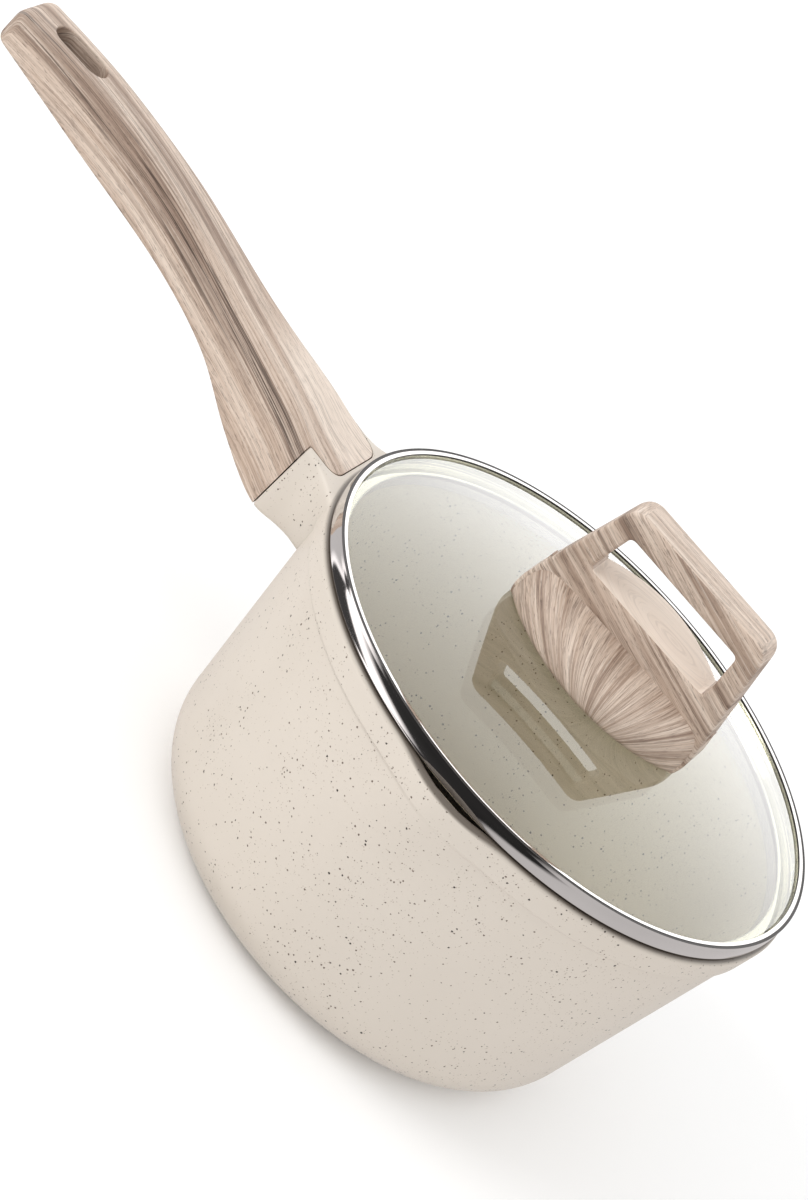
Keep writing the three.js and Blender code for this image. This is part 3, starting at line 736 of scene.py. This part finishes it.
def grip_grain(x, y, z, _):
    """Grain round the handle's section, with a dark bundle of lines along its near top edge."""
    half_grain = 12  # the grain's half width on the top face, however wide the handle is
    bundle_dark, broad_dark, tongue_pale, slot_shade_strength = 0.95, 0.6, 0.8, 2
    below = max(handle_top(x) - z, 0)
    across = y / handle_half_width(x) * half_grain
    round_place = across + math.copysign(below, across) * smooth((x - TIP_X) / TIP_ROUND)
    along = min(max((x - TIP_X) / (SEAM_X - TIP_X), 0), 1.1)
    drift = 8 * along ** 1.1 * smooth((round_place + 30) / 28)
    centre = -12.5 - 4.5 * smooth(along * 1.6)
    side = round_place - centre
    spread = 5.0 if side < 0 else 7.5 - 2.5 * along
    bundle = bundle_dark * math.exp(-((side / spread) ** 2))
    near_tip = 1 - smooth(along * 1.5 - 0.5)
    broad = broad_dark * math.exp(-(((across + 2) / 10) ** 2)) * near_tip
    on_top = 1 - smooth(below / 6 - 0.2)
    in_slot = abs(y) < SLOT_RADIUS + 0.05 and SLOT_OUTER - 0.05 < x < SLOT_INNER + 0.05
    pale = -tongue_pale * smooth((along - 0.65) / 0.3) * smooth((across + 7) / 7) * on_top
    # painted shade deep inside the hanging slot
    deep = slot_shade_strength * smooth((below - 0.3) / 2.5) if in_slot else 0
    return x, round_place + drift, 0.2 * below, max(bundle, broad * on_top, deep) + pale


def grip_piece():
    """The moulded grip with its tongue and hanging slot."""
    tip = [TIP_X + TIP_ROUND * (1 - math.cos(a)) for a in np.linspace(0, math.pi / 2, 12)]
    stations = [*tip, *np.linspace(TIP_X + TIP_ROUND, TONGUE_END_X + 4, 170)[1:]]
    whole = solid("grip", *skin(capped([handle_ring(x) for x in stations])))
    keep = block("keep", (TIP_X - 5, -60, 40), (SEAM_X - SEAM_GAP / 2, 60, 160))
    combine(keep, prism("tongue", tongue_plan(0), TONGUE_FLOOR, 160), "UNION")
    grip = combine(whole, keep, "INTERSECT")
    combine(grip, slot_cutter(), "DIFFERENCE")
    hole = [(0, 40), (COUNTERBORE_RADIUS, 40), (COUNTERBORE_RADIUS, COUNTERBORE_TOP),
            (0, COUNTERBORE_TOP)]
    rings = [[(x + SCREW_X, y, z) for x, y, z in ring] for ring in turned(hole, around=64)]
    combine(grip, solid("counterbore", *skin(rings)), "DIFFERENCE")
    grip.name = "grip"
    write_attributes(grip, grip_grain)
    return dress(grip, WOOD, "pan", "wood_effect", "handle_grip")


# ------------------------------------------------------------------ lid

DOME_RISE = GLASS_CROWN - GLASS_EDGE_TOP
DOME_RADIUS = (GLASS_RADIUS ** 2 + DOME_RISE ** 2) / (2 * DOME_RISE)


def dome_height(r):
    """Height of the glass's top face at a distance from the axis."""
    return GLASS_CROWN - DOME_RADIUS + math.sqrt(DOME_RADIUS ** 2 - r ** 2)


def glass_piece():
    """The domed glass with a rounded edge and its centre hole."""
    radii = np.linspace(GLASS_HOLE_RADIUS + 0.3, GLASS_RADIUS - 0.9, 44)
    upper = [(r, dome_height(r)) for r in radii]
    lower = [(r, z - GLASS_THICKNESS) for r, z in reversed(upper)]
    edge_low = GLASS_EDGE_TOP - GLASS_THICKNESS
    edge = [(GLASS_RADIUS, GLASS_EDGE_TOP - 0.8), (GLASS_RADIUS, edge_low + 0.8)]
    hole = [(GLASS_HOLE_RADIUS, lower[-1][1] + 0.3), (GLASS_HOLE_RADIUS, upper[0][1] - 0.3)]
    rings = turned([*upper, *edge, *lower, *hole])
    glass = solid("glass", *skin(rings, looped=True))
    return dress(glass, GLASS, "lid", "clear_glass", "lid_glass", sharp=60)


def ring_piece():
    """The rolled steel rim: a lip over the glass, the outside band, a floor and the skirt. Near-black
    steel paints shade in the crease, on the lip's inner edge and under the ring.
    """
    sheet, bulge = RING_SHEET, 0.12
    inner = SKIRT_RADIUS - sheet
    outer = RING_RADIUS - bulge
    band = [
        (outer + bulge * math.cos(math.pi * t), RING_BOTTOM + 0.9 + 4.0 * (t + 0.5))
        for t in np.linspace(-0.5, 0.5, 13)
    ]
    profile = [
        (RING_LIP_RADIUS, RING_TOP - sheet),
        *arc((RING_LIP_RADIUS + 0.12, RING_TOP - 0.12), 0.12, 180, 90, 4),
        (CREASE_INNER - 0.05, RING_TOP),
        (CREASE_INNER, RING_TOP - 0.12),
        (CREASE_OUTER, RING_TOP - 0.12),
        (CREASE_OUTER + 0.05, RING_TOP - 0.05),
        *arc((outer - 0.15, RING_TOP - 0.2), 0.15, 80, 0, 5),
        *reversed(band),
        *arc((outer - 0.7, RING_BOTTOM + 0.7), 0.7, 0, -90, 8),
        *arc((SKIRT_RADIUS + 0.5, RING_BOTTOM - 0.5), 0.5, 90, 180, 6),
        (SKIRT_RADIUS, SKIRT_BOTTOM + 0.3),
        *arc((SKIRT_RADIUS - 0.35, SKIRT_BOTTOM + 0.35), 0.35, 0, -180, 8),
        (inner, RING_BOTTOM - 0.2),
        *arc((inner + 0.9, RING_BOTTOM + sheet - 0.9), 0.9, 180, 90, 6),
        (RING_RADIUS - sheet - 0.4, RING_BOTTOM + sheet),
        (RING_RADIUS - sheet - 0.1, RING_BOTTOM + sheet + 0.4),
        (RING_RADIUS - sheet - 0.1, RING_TOP - sheet - 0.4),
        (RING_RADIUS - sheet - 0.5, RING_TOP - sheet),
    ]
    ring = solid("rim", *skin(turned(profile, around=320), looped=True))
    dress(ring, POLISHED, "lid", "polished_steel", "lid_ring", sharp=50)
    ring.data.materials.append(SHADE_STEEL)
    ring.data.materials.append(SKIRT)
    # material slots: plain steel, near-black steel for painted shade, and the bluish skirt
    plain, dark, bluish = 0, 1, 2
    for face in ring.data.polygons:
        radius = math.hypot(face.center.x, face.center.y) / MM
        height = face.center.z / MM
        in_crease = CREASE_INNER - 0.06 < radius < CREASE_OUTER + 0.06 and height > RING_TOP - 0.2
        in_lip = radius < RING_LIP_RADIUS + 0.03 and height > RING_TOP - RING_SHEET
        under = height < RING_BOTTOM + 0.05 and radius > SKIRT_RADIUS - 0.05
        in_skirt = radius < SKIRT_RADIUS - 0.12 and height < RING_BOTTOM + 0.2
        # painted shade: these faces take the near-black steel in place of their shade
        is_painted_shade = in_crease or in_lip or under
        face.material_index = bluish if in_skirt else dark if is_painted_shade else plain
    return ring


# ------------------------------------------------------------------ knob

def mirrored(right):
    """A closed outline from its right half, listed from bottom to top."""
    return right + [(-x, z) for x, z in reversed(right)]


def stirrup_side():
    """Right half of the stirrup's outline in X and Z, from its foot to its top."""
    foot = FOOT_BASE - 6
    lean = (KNOB_FOOT_HALF - KNOB_TOP_HALF) / (KNOB_TOP - FOOT_BASE)
    round_foot = 5
    side_above = (KNOB_FOOT_HALF - lean * round_foot, FOOT_BASE + round_foot)
    corner_low = (KNOB_TOP_HALF + lean * KNOB_CORNER, KNOB_TOP - KNOB_CORNER)
    top = (KNOB_TOP_HALF - KNOB_CORNER, KNOB_TOP)
    return [
        *bezier((KNOB_FOOT_HALF - round_foot, foot), (KNOB_FOOT_HALF, foot + 2), side_above, 12),
        *straight(side_above, corner_low, 24),
        *bezier(corner_low, (KNOB_TOP_HALF, KNOB_TOP), top, 16),
        *straight(top, (0, KNOB_TOP), 16),
    ]


def window_side():
    """Right half of the finger window's outline."""
    low, high, turn = WINDOW_LOW, WINDOW_HIGH, WINDOW_ROUND
    low_half, high_half = WINDOW_LOW_HALF, WINDOW_HIGH_HALF
    return [
        *straight((0, low), (low_half - turn, low), 16),
        *bezier((low_half - turn, low), (low_half, low), (low_half, low + turn), 12),
        *straight((low_half, low + turn), (high_half, high - turn), 8),
        *bezier((high_half, high - turn), (high_half, high), (high_half - turn, high), 12),
        *straight((high_half - turn, high), (0, high), 16),
    ]


def seen_from(outline, centre, around):
    """The outline's points at even angles round a centre, and its normals there."""
    loop = np.asarray([*outline, outline[0]]) - centre
    angles = np.unwrap(np.arctan2(loop[:, 1], loop[:, 0]))
    if angles[-1] < angles[0]:
        loop, angles = loop[::-1], angles[::-1]
    wanted = angles[0] + np.linspace(0, 2 * math.pi, around, endpoint=False)
    points = np.stack([np.interp(wanted, angles, loop[:, k]) for k in (0, 1)], axis=-1)
    start = np.argmin(np.abs(np.remainder(wanted, 2 * math.pi)))
    points = np.roll(points, -start, axis=0)
    along = np.roll(points, -1, axis=0) - np.roll(points, 1, axis=0)
    normals = np.stack([along[:, 1], -along[:, 0]], axis=-1)
    normals /= np.linalg.norm(normals, axis=1, keepdims=True)
    return points + centre, normals


def stirrup():
    """The knob's plate with its window and rounded edges."""
    around = 480
    middle = np.array([0, (WINDOW_LOW + WINDOW_HIGH) / 2])
    outer, outer_normals = seen_from(mirrored(stirrup_side()), middle, around)
    inner, inner_normals = seen_from(mirrored(window_side()), middle, around)
    rings = []
    for loop, normals, inwards in ((outer, outer_normals, 1), (inner, inner_normals, -1)):
        turned_edge = []
        for side in (-1, 1):
            angles = np.linspace(90, 0, 7) if side < 0 else np.linspace(0, 90, 7)
            for angle in np.radians(angles):
                inset = KNOB_EDGE * (1 - math.cos(angle))
                y = side * (KNOB_HALF_THICKNESS - KNOB_EDGE * (1 - math.sin(angle)))
                placed = loop - normals * inset * inwards
                turned_edge.append([(x, y, z) for x, z in placed])
        rings.extend(turned_edge if inwards > 0 else turned_edge[::-1])
    return solid("plate", *skin(rings, looped=True))


def foot():
    """The lens-shaped foot: crowned above, tucked in below."""
    rise = FOOT_HALF_WIDTH - KNOB_HALF_THICKNESS
    lens = (FOOT_HALF_LENGTH ** 2 + rise ** 2) / (2 * rise)
    rings = []
    for t in np.linspace(0.5, -0.5, 73):
        x = FOOT_HALF_LENGTH * math.sin(t * math.pi)
        half = FOOT_HALF_WIDTH - lens + math.sqrt(lens ** 2 - x ** 2)
        ring = []
        for angle in np.linspace(0, 2 * math.pi, 96, endpoint=False):
            across, up = math.sin(angle), math.cos(angle)
            across = math.copysign(abs(across) ** 0.9, across)
            up = math.copysign(abs(up) ** 0.9, up)
            ring.append((x, half * across, FOOT_BASE + (FOOT_RISE if up > 0 else 5) * up))
        rings.append(ring)
    return solid("foot", *skin(capped(rings)))


def shoulder():
    """Behind the window the foot swells into a shoulder whose top is level with the sill."""
    edge = 1.8
    inner = KNOB_HALF_THICKNESS - 2
    levels = [(FOOT_BASE - 4, FOOT_HALF_LENGTH - 1, FOOT_HALF_WIDTH - 1)]
    for t in np.linspace(0, 1, 14):
        z = FOOT_BASE + (WINDOW_LOW - edge - FOOT_BASE) * t
        bow = 0.9 * math.sin(math.pi * t)
        half = FOOT_HALF_LENGTH + (WINDOW_LOW_HALF + edge - FOOT_HALF_LENGTH) * t + bow
        levels.append((z, half, FOOT_HALF_WIDTH + (SHOULDER_REACH - FOOT_HALF_WIDTH) * t + bow))
    for angle in np.radians(np.linspace(0, 90, 8))[1:]:
        inset, z = edge * (1 - math.cos(angle)), WINDOW_LOW - edge * (1 - math.sin(angle))
        levels.append((z, WINDOW_LOW_HALF + edge - inset, SHOULDER_REACH - inset))
    rings = []
    for z, half, reach in levels:
        places = np.linspace(-1, 1, 61)
        arched = [(half * p, inner + (reach - inner) * (1 - p * p), z) for p in places]
        back = [(half * p, 0, z) for p in np.linspace(1, -1, 21)]
        rings.append([*arched, *back])
    middle = np.mean(rings[-1], axis=0)
    last = np.asarray(rings[-1])
    rings.extend((middle + (last - middle) * scale).tolist() for scale in (0.85, 0.65, 0.45, 0.25))
    return solid("shoulder", *skin(capped(rings)))


def knob_grain(x, y, z, face):
    """Grain on a slant over the stirrup, in a fan over the foot and in rings on the sill, whose low
    figure paints light on it.
    """
    slant = math.radians(-13)
    up = z - FOOT_BASE
    along = x * math.cos(slant) + up * math.sin(slant)
    across = -x * math.sin(slant) + up * math.cos(slant)
    swing = 0.18
    if abs(face.y) > KNOB_HALF_THICKNESS + 0.02:
        from_fan = up + FAN_BELOW
        along = math.hypot(x - FAN_X, from_fan)
        across = FAN_REACH * math.atan2(x - FAN_X, from_fan)
        swing = 0.05
    figure = 0.24 + swing * math.sin(across * 0.6 + 0.6) + 0.1 * math.sin(across * 0.23 + 1)
    if face.z > KNOB_TOP - 0.3:
        along, across, figure = x, y * 0.8, -0.15
    behind = face.y > -KNOB_HALF_THICKNESS + 0.5
    # the sill's figure of -1.3 paints light onto it, lighter than the wood's own colour
    if abs(face.z - WINDOW_LOW) < 0.3 and abs(face.x) < WINDOW_LOW_HALF and behind:
        along, across, figure = x * 0.4, 0.6 * math.hypot(x * 0.4 - 3, y - 3), -1.3
    return along, across + 40, y * 0.1 + 60, figure


def knob_piece():
    """The stirrup knob, seated on the glass."""
    knob = combine(stirrup(), foot(), "UNION")
    combine(knob, shoulder(), "UNION")
    reach, deep = KNOB_FOOT_HALF + 4, 90
    glass = [(r, dome_height(r) + KNOB_CLEARANCE) for r in np.linspace(0.5, reach, 24)]
    under = [(0, dome_height(0) + KNOB_CLEARANCE), *glass, (reach, deep), (0, deep)]
    combine(knob, solid("under", *skin(turned(under, around=128))), "DIFFERENCE")
    low, high = GLASS_EDGE_TOP - GLASS_THICKNESS - 1, GLASS_CROWN + KNOB_SEAT_RISE
    seat = [(0, low), (KNOB_SEAT_RADIUS, low), (KNOB_SEAT_RADIUS, high), (0, high)]
    combine(knob, solid("seat", *skin(turned(seat, around=96))), "DIFFERENCE")
    knob.name = "stirrup_knob"
    write_attributes(knob, knob_grain)
    return dress(knob, WOOD, "lid", "wood_effect", "knob", sharp=30)


# ------------------------------------------------------------------ pieces

pan_piece()
grip_piece()
glass_piece()
ring_piece()
knob_piece()

# Small pieces whose CAD shape is right take only a better material.
for node, finish in {
    "induction_plate": BRUSHED,
    "handle_screw": BRUSHED,
    "handle_washer": BRUSHED,
    "knob_insert": BRASS,
    "knob_screw": POLISHED,
    "knob_washer": POLISHED,
    "upper_seal": SILICONE,
    "lower_seal": SILICONE,
}.items():
    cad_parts[node].material_slots[0].material = finish


# ------------------------------------------------------------------ floor, light, camera

def floor():
    """A wide pale floor just under the pan. It stays out of the steel's reflections."""
    made, tree = material("pale floor")
    place = tree.add("ShaderNodeTexCoord").outputs["Object"]
    low, high = (0.93, 0.93, 0.93, 1.0), (0.95, 0.95, 0.95, 1.0)
    colour = tree.mix(tree.noise(place, 3, 2.0).outputs["Fac"], low, high)
    tree.finish(tree.add("ShaderNodeBsdfPrincipled", {
        "Base Color": colour, "Roughness": 0.9,
        "Emission Color": (1.0, 1.0, 1.0, 1.0), "Emission Strength": 0.07,
    }).outputs[0])
    reach, drop = 4000, 0.1
    plan = [(-reach, -reach), (reach, -reach), (reach, reach), (-reach, reach)]
    mesh = bpy.data.meshes.new("floor")
    mesh.from_pydata([(x * MM, y * MM, -drop * MM) for x, y in plan], [], [[0, 1, 2, 3]])
    mesh.materials.append(made)
    obj = bpy.data.objects.new("floor", mesh)
    bpy.context.scene.collection.objects.link(obj)
    obj.visible_glossy = False


def studio():
    """White surroundings. In the steel, dark flags and white panels show below the horizon."""
    world = bpy.data.worlds.new("studio")
    bpy.context.scene.world = world
    world.use_nodes = True
    tree = Tree(world)
    direction = tree.add("ShaderNodeTexCoord").outputs["Generated"]
    parts = tree.add("ShaderNodeSeparateXYZ", {"Vector": direction})
    x, y, z = (parts.outputs[k] for k in "XYZ")
    azimuth = tree.math("ARCTAN2", y, x)
    # The flags' edges lean, one way on the left and the other on the right.
    lean = 2.2
    slant = tree.remap(azimuth, math.radians(-110), math.radians(-70), lean, -lean, False)
    azimuth = tree.math(
        "ADD", azimuth, tree.math("MULTIPLY", slant, tree.math("ADD", z, 0.5)))
    tone = tree.add("ShaderNodeValToRGB", {
        "Fac": tree.remap(azimuth, -math.pi, math.pi, 0.0, 1.0, False)})
    ramp = tone.color_ramp
    # azimuth in degrees, brightness there
    stops = [
        (-180, 0.03), (-169, 0.03), (-162, 0.95), (-142, 0.8), (-126, 0.02), (-72, 0.01),
        (-60, 0.30), (60, 0.34), (120, 0.32), (150, 0.32), (157, 0.8), (160, 0.03), (180, 0.03),
    ]
    ramp.elements[0].position = 0
    ramp.elements[1].position = 1
    for degrees, _ in stops[1:-1]:
        ramp.elements.new((degrees + 180) / 360)
    for element, (_, level) in zip(ramp.elements, stops):
        element.color = (level, level * 0.96, level * 0.95, 1)
    panel_gain = 1.9
    lower = tree.vector("MULTIPLY", tone.outputs["Color"], (panel_gain,) * 3)
    # Behind the pan the upper part is brighter, for the veil of light on the glass.
    behind = tree.math(
        "MULTIPLY", tree.remap(y, 0.0, 0.6, 0.0, 0.8), tree.remap(z, 0.75, 0.95, 1.0, 0.0))
    upper = tree.math("ADD", tree.remap(z, -0.1, 0.9, 1.0, 0.85), behind)
    upper = tree.add(
        "ShaderNodeCombineColor", {"Red": upper, "Green": upper, "Blue": upper}).outputs[0]
    mirrored = tree.mix(tree.remap(z, -0.12, 0.0, 1.0, 0.0), upper, lower)
    glossy = tree.add("ShaderNodeLightPath").outputs["Is Glossy Ray"]
    colour = tree.mix(glossy, (1.0, 1.0, 1.0, 1.0), mirrored)
    tree.finish(
        tree.add("ShaderNodeBackground", {"Color": colour, "Strength": 1.0}).outputs[0],
        "ShaderNodeOutputWorld")


def soft_light(name, place, target, size, power):
    """A round soft light at a place, turned to a target."""
    light = bpy.data.lights.new(name, "AREA")
    light.shape = "DISK"
    light.size = size
    light.energy = power
    obj = bpy.data.objects.new(name, light)
    bpy.context.scene.collection.objects.link(obj)
    obj.location = place
    obj.rotation_mode = "QUATERNION"
    obj.rotation_quaternion = (Vector(target) - Vector(place)).to_track_quat("-Z", "Y")


def camera():
    """Looks down at about 30 degrees, rolled so that the upright pan looks tilted."""
    place, target = Vector((0.0263, -1.2074, 0.7026)), Vector((-0.0560, 0.0, 0.0819))
    roll = math.radians(47.17)
    data = bpy.data.cameras.new("camera")
    data.lens = 135
    data.sensor_width = 36
    obj = bpy.data.objects.new("camera", data)
    bpy.context.scene.collection.objects.link(obj)
    obj.location = place
    obj.rotation_mode = "QUATERNION"
    aimed = (target - place).to_track_quat("-Z", "Y")
    obj.rotation_quaternion = aimed @ Quaternion((0, 0, 1), roll)
    bpy.context.scene.camera = obj


floor()
studio()
soft_light("key", (-1.15, -0.65, 0.95), (0, 0, 0.05), 0.9, 8)
camera()
bpy.context.scene.view_settings.view_transform = "Standard"
